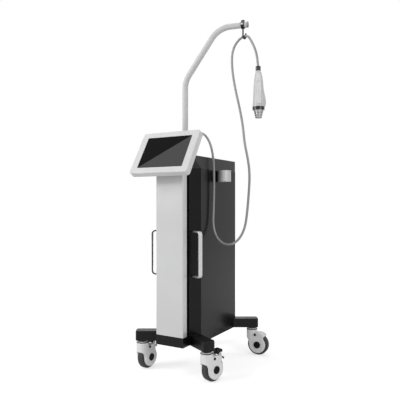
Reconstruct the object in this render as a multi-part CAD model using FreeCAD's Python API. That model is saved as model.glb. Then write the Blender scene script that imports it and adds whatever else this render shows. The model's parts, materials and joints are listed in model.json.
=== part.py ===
import FreeCAD, Part
import math
import os

# Radio frequency lifting device on a trolley. Millimetres, +Z up, front towards -Y.
# The pieces are laid out about the middle of the trolley base. The finished model is then moved
# so that its origin is the middle of the object's own footprint, on the floor.

# Fits shared by all pieces
run_clear = 0.05            # radial play of a pin that turns in a hole
move_clear = 0.4            # play between pieces that move past each other
cut_over = 5.0              # overrun of every cut
reach = 3000.0              # half-space blocks that trim one piece to another's plane

# Casters, laid out along the trail direction from the swivel axis
pivot_x = 161.0
pivot_y = 225.0
trail_fl_angle = 86.0
trail_fr_angle = 72.0
trail_rl_angle = 330.0
trail_rr_angle = 6.0
braked = ("fl", "fr")
wheel_dia = 100.0
wheel_width = 30.0
tread_round = 7.0
wheel_gap = 3.0             # tyre to hood, radial
cheek_gap = 1.5             # tyre to cheek, each side
cheek_wall = 8.5
cheek_inset = 11.0          # cheek rim short of the tread
cheek_round = 3.0
hood_wall = 3.5
hood_open_angle = 50.0
hood_sweep_angle = 112.5
hood_curve = 10.0           # hollow where the hood runs into the round cheeks
hood_tip_round = 4.0
caster_trail = 32.0
caster_height = 125.0
neck_dia = 52.0
neck_low_z = 55.0
bite_dia = 50.0             # round hollow in the housing's front, where the tyre shows
bite_out = 33.0             # its axis in front of the swivel
bite_z = 57.0
flange_dia = 45.0
flange_height = 6.0
spindle_dia = 12.0
spindle_depth = 20.0
stem_collar_dia = 37.0
stem_collar_height = 6.5
stem_pin_height = 20.0
axle_dia = 10.0
axle_cap_dia = 32.0
axle_cap_thick = 3.0
axle_cap_round = 1.5

# Brake pedals
pedal_reach = 60.0          # pedal pin from the swivel axis
pedal_pin_height = 108.0
pedal_hub_dia = 10.0
pedal_pin_dia = 5.0
pedal_width = 30.0
pedal_pad_back = 14.0
pedal_pad_front = 15.0
pedal_pad_rise = 6.0
pedal_pad_thick = 12.5
pedal_pad_round = 5.0
pedal_web = 8.0
pedal_web_width = 18.0
pedal_tail_out = 28.0
pedal_tail_drop = 23.0
pedal_tail_thick = 4.0
pedal_tail_width = 16.0
pedal_nub_dia = 8.0
ear_wall = 4.0
ear_half = 6.0

# Base
base_height = 41.5
base_wall = 3.0
base_round = 4.0
base_plate_thick = 6.0
leg_width = 52.0
leg_angle = 30.0
leg_overhang = 28.0
leg_corner = 13.0

# Cabinet
cabinet_half = 95.0
panel_wall = 3.0
side_front_y = -153.0
cabinet_rear_y = 175.0
facet_front_y = -207.0
seam_z = 875.0
lid_height = 51.0
lid_round = 3.0
lid_wall = 4.0
lid_corner_rise = 43.0      # height of the slanted cut at the lid's front corners

# Column
column_width = 135.0
column_front_y = -256.0
column_back_y = -227.0
column_wall = 3.0
column_round = 5.0
column_top_z = 932.0
groove_width = 8.0

# Handles
handle_bottom_z = 415.0
handle_height = 195.0
handle_stand = 50.0
handle_forward = 5.5        # from the facet's middle towards the column
handle_strap = 17.0
handle_thick = 6.5
handle_bend = 17.0
handle_edge = 1.5
handle_screw_dia = 4.0
handle_screw_head_dia = 9.0
handle_screw_head = 3.0
handle_screw_bite = 12.0

# Cup holder on the right side
cup_y = -3.0
cup_bottom_z = 822.0
cup_height = 50.0
cup_dia = 59.0
cup_wall = 1.5
cup_floor = 2.0
bracket_stand = 3.0
bracket_width = 36.0
bracket_height = 34.0
bracket_depth = 9.0

# Screen head, laid out on its own face: x across, y up the face, z out of the face
head_y = -292.0
head_z = 938.0
head_tilt = 32.0
head_width = 281.0
head_height = 210.0
head_thick = 29.0
head_corner = 13.0
head_round = 4.0
bezel_depth = 13.0
head_wall = 3.0
glass_width = 217.0
glass_height = 155.0
glass_thick = 3.0
glass_recess = 1.0
glass_clear = 0.3
glass_corner = 2.0
glass_bevel = 2.0           # sloping edge of the window round the glass
lcd_thick = 6.0
lcd_border = 5.0
board_thick = 1.6
board_rise = 4.0
board_width = 120.0
board_height = 80.0
chip_size = 18.0
chip_thick = 2.4
bracket_half = 48.0
bracket_bottom_z = 892.0
head_screw_dia = 4.0
head_screw_head_dia = 8.0
head_screw_head = 2.5
head_screw_inset = 16.0
head_screw_bite = 8.0

# Arm
arm_y = -129.0
arm_dia = 25.0
arm_wall = 2.0
arm_yaw = 11.0
arm_low_bend_z = 1259.0
arm_high_bend_s = 152.0
arm_top_z = 1476.0
arm_end_s = 277.0
arm_bend = 100.0
socket_flange_dia = 56.0
socket_flange = 8.0
socket_boss_dia = 37.0
socket_boss = 32.0
socket_round = 3.0
end_cap_thick = 5.0
end_cap_spigot = 12.0
clamp_s = 259.5
clamp_length = 13.0
clamp_dia = 32.0
clamp_slot = 2.0
clamp_ear = 4.0
hook_wire = 7.0
hook_clear = 0.6
hook_drop = 58.0            # arm's middle down to the hook's lowest point
hook_turn = 75.0
hook_tip = 14.0

# Handpiece cable, from the plug on the lid over the hook to the handpiece
cable_dia = 10.0
cable_points = [
    (-5.0, -80.0, 967.0), (-2.0, -81.0, 1000.0), (16.9, -83.1, 1028.3), (45.7, -83.5, 1039.2),
    (75.7, -84.8, 1025.8), (96.8, -82.3, 992.4), (107.4, -78.6, 952.6), (110.9, -72.1, 902.6),
    (109.5, -66.7, 827.8), (109.0, -67.6, 745.3), (109.0, -71.4, 689.4), (109.0, -76.0, 638.9),
    (119.0, -79.5, 598.6), (142.1, -85.1, 564.7), (179.3, -90.7, 548.1), (220.2, -96.3, 554.7),
    (252.5, -98.5, 583.0), (273.5, -97.0, 628.0), (282.7, -96.0, 695.0), (289.8, -95.0, 780.0),
    (292.4, -94.0, 850.0), (283.7, -92.5, 910.0), (267.6, -91.0, 975.0), (258.5, -88.0, 1050.0),
    (243.0, -84.0, 1120.0), (221.0, -79.0, 1200.0), (205.0, -74.0, 1270.0), (197.5, -70.0, 1330.0),
    (199.0, -67.5, 1372.0), (212.0, -66.0, 1405.0), (239.7, -65.9, 1430.6), (274.6, -75.3, 1430.6),
    (294.1, -80.5, 1402.0), (312.0, -83.5, 1366.0), (323.0, -85.2, 1326.0), (326.8, -86.4, 1286.0),
]
share_of_run = 0.45         # share of the shorter run that each bend takes
plug_dia = 18.0
plug_grip = 16.0
plug_nose_dia = 14.0
plug_lip = 1.5
plug_rib = 1.0
plug_rib_count = 4
cable_socket_dia = 28.0
cable_socket_height = 8.0

# Handpiece, hung from the end of the cable
hand_turn = 30.0            # its flare points to the right of the view
hand_mouth_depth = 5.0      # cable end below the collar's rim
hand_mouth_dia = 15.0
hand_end_clear = 0.35
hand_end_room = 3.0
collar_dia = 21.0
collar_height = 20.0
collar_round = 2.0
hand_length = 148.4
hand_wall = 2.5
hand_neck_dia = 31.3
hand_mid_dia = 38.5
hand_grip_dia = 47.0
hand_flare_dia = 54.5
hand_low_dia = 51.0
hand_neck_out = 1.3
hand_mid_out = 1.3
hand_grip_out = 3.3
hand_flare_out = 5.2
hand_low_out = 1.5
hand_neck_share = 0.15
hand_mid_share = 0.34
hand_grip_share = 0.64
hand_flare_share = 0.88
panel_width = 17.0
panel_thick = 1.2
panel_clear = 0.3           # film of glue under the panel
panel_top_share = 0.06
panel_bottom_share = 0.93
button_dia = 10.0
button_share = 0.3
button_proud = 1.4
button_travel = 1.5
button_height = 7.0
hand_board_width = 16.0
hand_board_length = 90.0
hand_board_top_share = 0.2
hand_board_rail = 8.0
ring_dia = 50.0
ring_height = 12.4
ring_wall = 4.0
tip_spigot = 10.0
tip_length = 33.2
tip_top_dia = 41.0
tip_end_dia = 24.5
tip_steps = 4
tip_groove = 2.0            # depth of the groove above each step
tip_groove_share = 0.3      # share of a step that is groove

# Inside the cabinet and on its rear
floor_thick = 3.0
shelf_z = 520.0
shelf_thick = 3.0
case_wall = 3.0
generator_width = 150.0
generator_depth = 200.0
generator_height = 120.0
generator_y = -20.0
fin_count = 9
fin_thick = 3.0
fin_height = 18.0
supply_width = 110.0
supply_depth = 130.0
supply_height = 60.0
supply_round = 2.0
supply_y = 66.0
control_depth = 120.0
control_width = 120.0
control_y = -72.0
standoff_dia = 7.0
standoff_height = 10.0
standoff_inset = 8.0
fan_z = 700.0
fan_size = 92.0
fan_depth = 25.0
fan_bore = 86.0
fan_hub_dia = 36.0
fan_blades = 7
fan_blade_thick = 1.8
fan_blade_pitch = 35.0
fan_shaft_dia = 5.0
fan_plate = 3.0
fan_strut = 5.0
fan_tip_clear = 1.5
slot_count = 9
slot_width = 5.0
inlet_z = 215.0
inlet_width = 48.0
inlet_height = 58.0
inlet_flange = 2.5
inlet_body_width = 28.0
inlet_body_height = 48.0
inlet_body_depth = 32.0
socket_width = 22.0
socket_height = 15.0
socket_depth = 17.0
rocker_width = 20.0
rocker_height = 14.0
rocker_depth = 9.0
rocker_proud = 2.0
rocker_pin_dia = 3.0
rocker_pin_length = 2.0
rocker_room = 1.6
panel_screw_dia = 4.0
panel_screw_head_dia = 8.0
panel_screw_head = 2.0
panel_screw_bite = 6.0
panel_screw_inset = 24.0
flange_width = 12.0
flange_depth = 10.0

# Places worked out from the values above
V = FreeCAD.Vector
ex = V(1, 0, 0)
ey = V(0, 1, 0)
ez = V(0, 0, 1)
trail_angles = {"fl": trail_fl_angle, "fr": trail_fr_angle, "rl": trail_rl_angle, "rr": trail_rr_angle}
wheel_r = wheel_dia / 2
hood_r = wheel_r + wheel_gap + hood_wall
slot_half = wheel_width / 2 + cheek_gap
hood_half = slot_half + cheek_wall
leg_z = caster_height + stem_collar_height
base_top_z = leg_z + base_height
lid_top_z = seam_z + lid_height
column_half = column_width / 2
spine_half = column_half - groove_width
inner_half = cabinet_half - panel_wall
inner_rear_y = cabinet_rear_y - panel_wall
deck_z = base_top_z + floor_thick
flange_front_y = inner_rear_y - flange_depth
arm_way = V(math.cos(math.radians(arm_yaw)), math.sin(math.radians(arm_yaw)), 0)
hook_way = V(math.cos(math.radians(hook_turn)), math.sin(math.radians(hook_turn)), 0)
hook_bend = cable_dia / 2 + hook_clear + hook_wire / 2
hook_bottom_z = arm_top_z - hook_drop
along_share = 0.99          # direction cosine of an edge that counts as running along an axis
touch = 1e-4                # two coordinates nearer than this are the same


def block(x0, x1, y0, y1, z0, z1):
    return Part.makeBox(x1 - x0, y1 - y0, z1 - z0, V(x0, y0, z0))


def rod(dia, start, end):
    return Part.makeCylinder(dia / 2, (end - start).Length, start, end - start)


def cone(start_dia, end_dia, start, end):
    return Part.makeCone(start_dia / 2, end_dia / 2, (end - start).Length, start, end - start)


def prism(points, depth):
    return Part.Face(Part.makePolygon(points + points[:1])).extrude(depth)


def joined(shapes):
    whole = shapes[0]
    for shape in shapes[1:]:
        whole = whole.fuse(shape)
    return whole.removeSplitter()


def without(shape, cuts):
    for cut in cuts:
        shape = shape.cut(cut)
    return shape


def group(shapes):
    return Part.makeCompound(shapes)


def running(shape, axis):
    return [e for e in shape.Edges if abs(e.tangentAt(e.FirstParameter).dot(axis)) > along_share]


def lying_at(shape, axis, place):
    return [e for e in shape.Edges if all(abs(v.Point.dot(axis) - place) < touch for v in e.Vertexes)]


def standing_at(shape, along, axis, place):
    # Straight edges that run along one axis at one place on another
    lying = lying_at(shape, axis, place)
    return [e for e in running(shape, along) if any(e.isSame(other) for other in lying)]


def round_rim(shape, radius, axis, places):
    edges = []
    for place in places:
        edges += lying_at(shape, axis, place)
    return shape.makeFillet(radius, edges)


def slab(width, height, corner, z0, z1):
    plate = block(-width / 2, width / 2, -height / 2, height / 2, z0, z1)
    return plate.makeFillet(corner, running(plate, ez))


def put(shape, base, axis, angle):
    placed = shape.copy()
    placed.Placement = FreeCAD.Placement(base, FreeCAD.Rotation(axis, angle)).multiply(shape.Placement)
    return placed


def mirrored(shape):
    return shape.mirror(V(0, 0, 0), ex)


def bent_path(points, radii):
    # Straight runs joined by tangent arcs
    edges = []
    start = points[0]
    for i, radius in enumerate(radii):
        corner = points[i + 1]
        back_way = (points[i] - corner).normalize()
        on_way = (points[i + 2] - corner).normalize()
        half = back_way.getAngle(on_way) / 2
        inward = (back_way + on_way).normalize()
        first = corner + back_way * (radius / math.tan(half))
        last = corner + on_way * (radius / math.tan(half))
        middle = corner + inward * (radius / math.sin(half) - radius)
        edges.append(Part.LineSegment(start, first).toShape())
        edges.append(Part.Arc(first, middle, last).toShape())
        start = last
    edges.append(Part.LineSegment(start, points[-1]).toShape())
    return Part.Wire(edges)


def pipe(path, dia, start, way):
    ring = Part.Wire(Part.makeCircle(dia / 2, start, way))
    return path.makePipeShell([ring], True)


# Casters

def caster_base(key):
    side = -1 if key.endswith("l") else 1
    end = -1 if key.startswith("f") else 1
    return V(side * pivot_x, end * pivot_y, 0)


def set_caster(shape, key):
    return put(shape, caster_base(key), ez, trail_angles[key])


def across(dia, along, height, half):
    return rod(dia, V(along, -half, height), V(along, half, height))


def spoke_edges(shape, radius, angle):
    # Straight edges across the wheel, at one radius and angle about the axle
    along = caster_trail + radius * math.cos(math.radians(angle))
    height = wheel_r + radius * math.sin(math.radians(angle))
    return [e for e in running(shape, ey)
            if abs(e.CenterOfMass.x - along) < touch and abs(e.CenterOfMass.z - height) < touch]


def caster_housing(has_brake):
    rims = (-hood_half, hood_half)
    wedge = Part.makeCylinder(2 * hood_r, 2 * hood_half, V(0, 0, 0), ez, hood_sweep_angle)
    wedge = put(wedge, V(0, 0, 0), ez, hood_open_angle)
    wedge = put(wedge, V(caster_trail, hood_half, wheel_r), ex, 90)
    cheek_r = wheel_r - cheek_inset
    hood = across(2 * hood_r, caster_trail, wheel_r, hood_half).common(wedge)
    sides = joined([hood, across(2 * cheek_r, caster_trail, wheel_r, hood_half)])
    for angle in (hood_open_angle, hood_open_angle + hood_sweep_angle):
        sides = sides.makeFillet(hood_curve, spoke_edges(sides, cheek_r, angle))
        sides = sides.makeFillet(hood_tip_round, spoke_edges(sides, hood_r, angle))
    sides = round_rim(sides, cheek_round, ey, rims)
    neck_top = caster_height - flange_height
    neck = rod(neck_dia, V(0, 0, neck_low_z), V(0, 0, neck_top))
    neck = round_rim(neck, cheek_round, ez, (neck_low_z, neck_top))
    # Seen from above, the housing is round at the swivel and straight behind it
    plan = joined([rod(neck_dia, V(0, 0, 0), V(0, 0, caster_height)),
                   block(0, caster_trail + hood_r, -hood_half, hood_half, 0, caster_height)])
    body = joined([sides.common(plan), neck])
    flange = rod(flange_dia, V(0, 0, neck_top), V(0, 0, caster_height - move_clear))
    solids = [body, flange]
    cuts = [
        across(bite_dia, -bite_out, bite_z, hood_half + neck_dia),
        across(wheel_dia + 2 * wheel_gap, caster_trail, wheel_r, slot_half),
        across(axle_dia, caster_trail, wheel_r, hood_half + cut_over),
        rod(spindle_dia + 2 * run_clear, V(0, 0, caster_height - spindle_depth - move_clear),
            V(0, 0, caster_height + cut_over)),
    ]
    if has_brake:
        ear_inner = pedal_width / 2 + move_clear
        ear_low = wheel_r + (wheel_r + wheel_gap) * math.sin(math.radians(hood_open_angle))
        for side in (-1, 1):
            low, high = sorted((side * ear_inner, side * (ear_inner + ear_wall)))
            solids.append(block(pedal_reach - ear_half, pedal_reach + ear_half, low, high,
                                ear_low, pedal_pin_height))
            solids.append(rod(2 * ear_half, V(pedal_reach, low, pedal_pin_height),
                              V(pedal_reach, high, pedal_pin_height)))
        cuts.append(across(pedal_pin_dia + 2 * run_clear, pedal_reach, pedal_pin_height,
                           ear_inner + ear_wall + cut_over))
    return without(joined(solids), cuts)


def caster_wheel():
    tyre = across(wheel_dia, caster_trail, wheel_r, wheel_width / 2)
    tyre = round_rim(tyre, tread_round, ey, (-wheel_width / 2, wheel_width / 2))
    return tyre.cut(across(axle_dia + 2 * run_clear, caster_trail, wheel_r, wheel_width))


def caster_axle():
    pieces = [across(axle_dia, caster_trail, wheel_r, hood_half)]
    for side in (-1, 1):
        face = side * hood_half
        rim = side * (hood_half + axle_cap_thick)
        cap = rod(axle_cap_dia, V(caster_trail, face, wheel_r), V(caster_trail, rim, wheel_r))
        pieces.append(round_rim(cap, axle_cap_round, ey, (rim,)))
    return joined(pieces)


def caster_stem():
    collar = rod(stem_collar_dia, V(0, 0, caster_height), V(0, 0, leg_z))
    spindle = rod(spindle_dia, V(0, 0, caster_height - spindle_depth), V(0, 0, leg_z + stem_pin_height))
    return joined([collar, spindle])


def brake_pedal():
    hub = across(pedal_hub_dia, pedal_reach, pedal_pin_height, pedal_width / 2)
    pins = across(pedal_pin_dia, pedal_reach, pedal_pin_height, pedal_width / 2 + move_clear + ear_wall)
    pad_low = pedal_pin_height + pedal_pad_rise
    pad = block(pedal_reach - pedal_pad_back, pedal_reach + pedal_pad_front,
                -pedal_width / 2, pedal_width / 2, pad_low, pad_low + pedal_pad_thick)
    pad = round_rim(pad, pedal_pad_round, ez, (pad_low + pedal_pad_thick,))
    web = block(pedal_reach - pedal_web / 2, pedal_reach + pedal_web / 2, -pedal_web_width / 2,
                pedal_web_width / 2, pedal_pin_height, pad_low)
    root = V(pedal_reach, -pedal_tail_width / 2, pedal_pin_height)
    fall = V(pedal_tail_out, 0, -pedal_tail_drop)
    edge = fall.cross(ey).normalize() * (pedal_tail_thick / 2)
    tail = prism([root + edge, root + fall + edge, root + fall - edge, root - edge], ey * pedal_tail_width)
    nub = across(pedal_nub_dia, pedal_reach + pedal_tail_out, pedal_pin_height - pedal_tail_drop,
                 pedal_tail_width / 2)
    return joined([hub, pins, web, pad, tail, nub])


# Base

def leg(inset, z0, z1, rim):
    root = pivot_x / math.cos(math.radians(leg_angle))
    beam = block(-root, leg_overhang - inset, inset - leg_width / 2, leg_width / 2 - inset, z0, z1)
    beam = beam.makeFillet(leg_corner - inset, standing_at(beam, ez, ex, leg_overhang - inset))
    if rim:
        beam = beam.makeFillet(rim, lying_at(beam, ez, z1))
    return beam


def base_plan(inset, z0, z1, rim):
    half = inner_half - inset
    nose = column_half - inset
    outline = [(half, cabinet_rear_y - inset), (half, side_front_y), (nose, facet_front_y),
               (nose, column_front_y + inset)]
    outline += [(-x, y) for x, y in reversed(outline)]
    plan = [prism([V(x, y, z0) for x, y in outline], ez * (z1 - z0))]
    for key in trail_angles:
        base = caster_base(key)
        angle = math.degrees(math.atan2(base.y / pivot_y * math.sin(math.radians(leg_angle)),
                                        base.x / pivot_x * math.cos(math.radians(leg_angle))))
        plan.append(put(leg(inset, z0, z1, rim), base, ez, angle))
    return joined(plan)


def side_skin(side):
    inner, outer = sorted((side * inner_half, side * cabinet_half))
    return block(inner, outer, side_front_y, cabinet_rear_y, leg_z, seam_z)


def base_cover():
    cover = base_plan(0, leg_z, base_top_z, base_round)
    hollow = base_plan(base_wall, leg_z - cut_over, base_top_z - base_wall, 0)
    return without(cover, [hollow, side_skin(-1), side_skin(1)])


def base_plate():
    plate = base_plan(base_wall, leg_z, leg_z + base_plate_thick, 0)
    holes = []
    for key in trail_angles:
        foot = caster_base(key)
        holes.append(rod(spindle_dia, foot, foot + ez * base_top_z))
    return without(plate, holes + [side_skin(-1), side_skin(1)])


# Cabinet and column

def facet_frame():
    # Where the handle stands on the right facet, and the angle of the facet's outward normal
    edge = V(cabinet_half - column_half, side_front_y - facet_front_y, 0)
    middle = V((cabinet_half + column_half) / 2, (side_front_y + facet_front_y) / 2, 0)
    normal = edge.cross(ez)
    middle = middle - edge.normalize() * handle_forward
    return middle, math.degrees(math.atan2(normal.y, normal.x))


def set_on_facet(shape):
    middle, angle = facet_frame()
    return put(shape, middle, ez, angle)


def cabinet_front():
    back = side_front_y + panel_wall
    outline = [(cabinet_half, back), (cabinet_half, side_front_y), (column_half, facet_front_y),
               (spine_half, facet_front_y), (spine_half, column_back_y)]
    outline += [(-x, y) for x, y in reversed(outline)]
    plan = Part.Face(Part.makePolygon([V(x, y, base_top_z) for x, y in outline + outline[:1]]))
    sheet = plan.cut(plan.makeOffset2D(-panel_wall)).extrude(ez * (seam_z - base_top_z))
    behind = block(-reach, reach, side_front_y, side_front_y + reach, 0, reach)
    screws = handle_screw_set()
    return without(sheet, [behind] + [s for s in screws])


def side_panel(side):
    flange_out = side * inner_half
    flange_in = side * (inner_half - flange_width)
    low, high = sorted((flange_in, flange_out))
    flange = block(low, high, flange_front_y, inner_rear_y, base_top_z, seam_z)
    return without(joined([side_skin(side), flange]), panel_screw_set())


def rear_panel():
    sheet = block(-inner_half, inner_half, inner_rear_y, cabinet_rear_y, base_top_z, seam_z)
    cuts = panel_screw_set()
    pitch = fan_bore / slot_count
    for i in range(slot_count):
        rise = (i - (slot_count - 1) / 2) * pitch
        half = math.sqrt((fan_bore / 2) ** 2 - rise ** 2) - slot_width / 2
        z = fan_z + rise
        cuts.append(block(-half, half, inner_rear_y - cut_over, cabinet_rear_y + cut_over,
                          z - slot_width / 2, z + slot_width / 2))
    cuts.append(block(-inlet_body_width / 2, inlet_body_width / 2, inner_rear_y - cut_over,
                      cabinet_rear_y + cut_over, inlet_z - inlet_body_height / 2,
                      inlet_z + inlet_body_height / 2))
    return without(sheet, cuts)


def panel_screw_set():
    screws = []
    x = inner_half - flange_width / 2
    for z in (base_top_z + panel_screw_inset, (base_top_z + seam_z) / 2, seam_z - panel_screw_inset):
        for side in (-1, 1):
            shank = rod(panel_screw_dia, V(side * x, cabinet_rear_y - panel_wall - panel_screw_bite, z),
                        V(side * x, cabinet_rear_y, z))
            head = rod(panel_screw_head_dia, V(side * x, cabinet_rear_y, z),
                       V(side * x, cabinet_rear_y + panel_screw_head, z))
            screws.append(joined([shank, head]))
    return screws


def lid():
    shell = block(-cabinet_half, cabinet_half, column_back_y, cabinet_rear_y, seam_z, lid_top_z)
    shell = shell.makeFillet(lid_round, lying_at(shell, ez, lid_top_z) + running(shell, ez))
    hollow = block(lid_wall - inner_half, inner_half - lid_wall, side_front_y, inner_rear_y - lid_wall,
                   seam_z - cut_over, lid_top_z - lid_wall)
    corner = lid_corner_cut()
    return without(shell, [hollow, corner, mirrored(corner)])


def lid_corner_cut():
    # Slanted from the facet at the seam up to the lid's front corner, laid out from the facet along x
    middle, angle = facet_frame()
    facet_out = V(math.cos(math.radians(angle)), math.sin(math.radians(angle)), 0)
    corner_out = (V(cabinet_half, column_back_y, 0) - middle).dot(facet_out)
    slope_far = V(corner_out, 0, lid_corner_rise) * 2
    foot = V(0, -reach, seam_z)
    low = foot - ez * cut_over
    wedge = prism([low, foot, foot + slope_far, low + ex * slope_far.x], ey * (2 * reach))
    return set_on_facet(wedge)


def column_panel():
    skin = block(-column_half, column_half, column_front_y, column_back_y, base_top_z, column_top_z)
    skin = skin.makeFillet(column_round, standing_at(skin, ez, ey, column_front_y))
    hollow = block(column_wall - column_half, column_half - column_wall, column_front_y + column_wall,
                   column_back_y + cut_over, base_top_z - cut_over, column_top_z - column_wall)
    return skin.cut(hollow)


# Handles: the strap is laid out from the facet outwards along x, then turned onto the facet

def handle_screw_set():
    screws = []
    for z in (handle_bottom_z + handle_thick / 2, handle_bottom_z + handle_height - handle_thick / 2):
        head = rod(handle_screw_head_dia, V(-panel_wall - handle_screw_head, 0, z), V(-panel_wall, 0, z))
        shank = rod(handle_screw_dia, V(-panel_wall, 0, z), V(handle_screw_bite, 0, z))
        screw = set_on_facet(joined([head, shank]))
        screws += [screw, mirrored(screw)]
    return screws


def handle_right():
    top_z = handle_bottom_z + handle_height
    grip_out = handle_stand - handle_thick
    outer = block(0, handle_stand, -handle_strap / 2, handle_strap / 2, handle_bottom_z, top_z)
    outer = outer.makeFillet(handle_bend, standing_at(outer, ey, ex, handle_stand))
    inner = block(-cut_over, grip_out, -handle_strap, handle_strap,
                  handle_bottom_z + handle_thick, top_z - handle_thick)
    inner = inner.makeFillet(handle_bend - handle_thick, standing_at(inner, ey, ex, grip_out))
    strap = round_rim(outer.cut(inner), handle_edge, ey, (-handle_strap / 2, handle_strap / 2))
    return set_on_facet(strap)


def handle(side):
    strap = handle_right() if side > 0 else mirrored(handle_right())
    return without(strap, handle_screw_set())


# Cup holder

def cup_axis(z):
    return V(cabinet_half + bracket_stand + cup_dia / 2, cup_y, z)


def cup_body():
    return rod(cup_dia, cup_axis(cup_bottom_z), cup_axis(cup_bottom_z + cup_height))


def holder_cup():
    return cup_body().cut(rod(cup_dia - 2 * cup_wall, cup_axis(cup_bottom_z + cup_floor),
                              cup_axis(cup_bottom_z + cup_height + cut_over)))


def holder_bracket():
    middle = cup_bottom_z + cup_height / 2
    plate = block(cabinet_half, cabinet_half + bracket_depth, cup_y - bracket_width / 2,
                  cup_y + bracket_width / 2, middle - bracket_height / 2, middle + bracket_height / 2)
    return plate.cut(cup_body())


# Screen head

def set_head(shape):
    return put(shape, V(0, head_y, head_z), ex, 90 - head_tilt)


def head_screw_places():
    x = head_width / 2 - head_screw_inset
    y = head_height / 2 - head_screw_inset
    return [(x, y), (-x, y), (x, -y), (-x, -y)]


def head_screw_set():
    screws = []
    for x, y in head_screw_places():
        head = rod(head_screw_head_dia, V(x, y, -head_thick - head_screw_head), V(x, y, -head_thick))
        shank = rod(head_screw_dia, V(x, y, -head_thick), V(x, y, head_screw_bite - bezel_depth))
        screws.append(joined([head, shank]))
    return screws


glass_back = -glass_recess - glass_thick
lcd_back = glass_back - lcd_thick
cover_floor = head_wall - head_thick
board_low = cover_floor + board_rise


def face_rim(width, height, z):
    corners = [V(-width / 2, -height / 2, z), V(width / 2, -height / 2, z),
               V(width / 2, height / 2, z), V(-width / 2, height / 2, z)]
    return Part.makePolygon(corners + corners[:1])


def head_bezel():
    frame = slab(head_width, head_height, head_corner, -bezel_depth, 0)
    frame = round_rim(frame, head_round, ez, (0,))
    seat_width = glass_width + 2 * glass_clear
    seat_height = glass_height + 2 * glass_clear
    seat = block(-seat_width / 2, seat_width / 2, -seat_height / 2, seat_height / 2, glass_back, cut_over)
    view_x = glass_width / 2 - lcd_border
    view_y = glass_height / 2 - lcd_border
    window = block(-view_x, view_x, -view_y, view_y, -bezel_depth - cut_over, 0)
    slope = Part.makeLoft([
        face_rim(seat_width, seat_height, -glass_recess),
        face_rim(seat_width + 2 * glass_bevel, seat_height + 2 * glass_bevel, 0),
    ], True, True)
    return without(frame, [seat, window, slope] + head_screw_set())


def head_rear_cover():
    tray = slab(head_width, head_height, head_corner, -head_thick, -bezel_depth)
    tray = round_rim(tray, head_round, ez, (-head_thick,))
    hollow = slab(head_width - 2 * head_wall, head_height - 2 * head_wall, head_corner - head_wall,
                  cover_floor, -bezel_depth + cut_over)
    tray = tray.cut(hollow)
    posts = [tray]
    for x, y in head_screw_places():
        posts.append(rod(2 * head_screw_dia, V(x, y, cover_floor), V(x, y, -bezel_depth)))
    for x in (board_width / 2 - standoff_inset, standoff_inset - board_width / 2):
        for y in (board_height / 2 - standoff_inset, standoff_inset - board_height / 2):
            posts.append(rod(standoff_dia, V(x, y, cover_floor), V(x, y, board_low)))
    return without(joined(posts), head_screw_set())


def touch_glass():
    return slab(glass_width, glass_height, glass_corner, glass_back, -glass_recess)


def lcd_panel():
    half_x = glass_width / 2 - lcd_border - glass_clear
    half_y = glass_height / 2 - lcd_border - glass_clear
    return block(-half_x, half_x, -half_y, half_y, lcd_back, glass_back)


def circuit_board(width, depth, z, chip_shares):
    board = [block(-width / 2, width / 2, -depth / 2, depth / 2, z, z + board_thick)]
    for x_share, y_share in chip_shares:
        x = x_share * width
        y = y_share * depth
        board.append(block(x - chip_size / 2, x + chip_size / 2, y - chip_size / 2, y + chip_size / 2,
                           z + board_thick, z + board_thick + chip_thick))
    return joined(board)


display_chip_shares = [(0, 0), (0.25, 0.2), (-0.25, -0.2)]
control_chip_shares = [(0, 0), (0.28, 0.3), (-0.28, 0.3), (0.28, -0.3), (-0.2, -0.3)]


def head_bracket():
    wedge = block(-bracket_half, bracket_half, head_y, column_front_y, bracket_bottom_z, column_top_z)
    return wedge.cut(set_head(block(-reach, reach, -reach, reach, -head_thick, reach)))


# Arm and hook

def arm_point(s, z):
    return V(0, arm_y, z) + arm_way * s


def arm_tube():
    points = [arm_point(0, lid_top_z), arm_point(0, arm_low_bend_z), arm_point(arm_high_bend_s, arm_top_z),
              arm_point(arm_end_s, arm_top_z)]
    path = bent_path(points, [arm_bend, arm_bend])
    return pipe(path, arm_dia, points[0], ez).cut(pipe(path, arm_dia - 2 * arm_wall, points[0], ez))


def arm_socket():
    foot = arm_point(0, lid_top_z)
    flange = rod(socket_flange_dia, foot, foot + ez * socket_flange)
    flange = round_rim(flange, socket_round, ez, (lid_top_z + socket_flange,))
    boss = rod(socket_boss_dia, foot, foot + ez * socket_boss)
    boss = round_rim(boss, socket_round, ez, (lid_top_z + socket_boss,))
    return joined([flange, boss]).cut(rod(arm_dia, foot, foot + ez * (socket_boss + cut_over)))


def arm_end_cap():
    end = arm_point(arm_end_s, arm_top_z)
    spigot = rod(arm_dia - 2 * arm_wall, end - arm_way * end_cap_spigot, end)
    return joined([spigot, rod(arm_dia, end, end + arm_way * end_cap_thick)])


def hook_shank():
    foot = arm_point(clamp_s, arm_top_z - arm_dia / 2)
    return foot, V(foot.x, foot.y, hook_bottom_z + hook_wire / 2 + hook_bend)


def hook_clamp():
    start = arm_point(clamp_s - clamp_length / 2, arm_top_z)
    end = arm_point(clamp_s + clamp_length / 2, arm_top_z)
    ear = block(-clamp_length / 2, clamp_length / 2, -clamp_ear, clamp_ear, 0, clamp_dia / 2 + clamp_ear)
    slot = block(-clamp_length, clamp_length, -clamp_slot / 2, clamp_slot / 2, 0, clamp_dia)
    place = arm_point(clamp_s, arm_top_z)
    ring = joined([rod(clamp_dia, start, end), put(ear, place, ez, arm_yaw)])
    top, low = hook_shank()
    return without(ring, [rod(arm_dia, start, end), put(slot, place, ez, arm_yaw), rod(hook_wire, low, top)])


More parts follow.
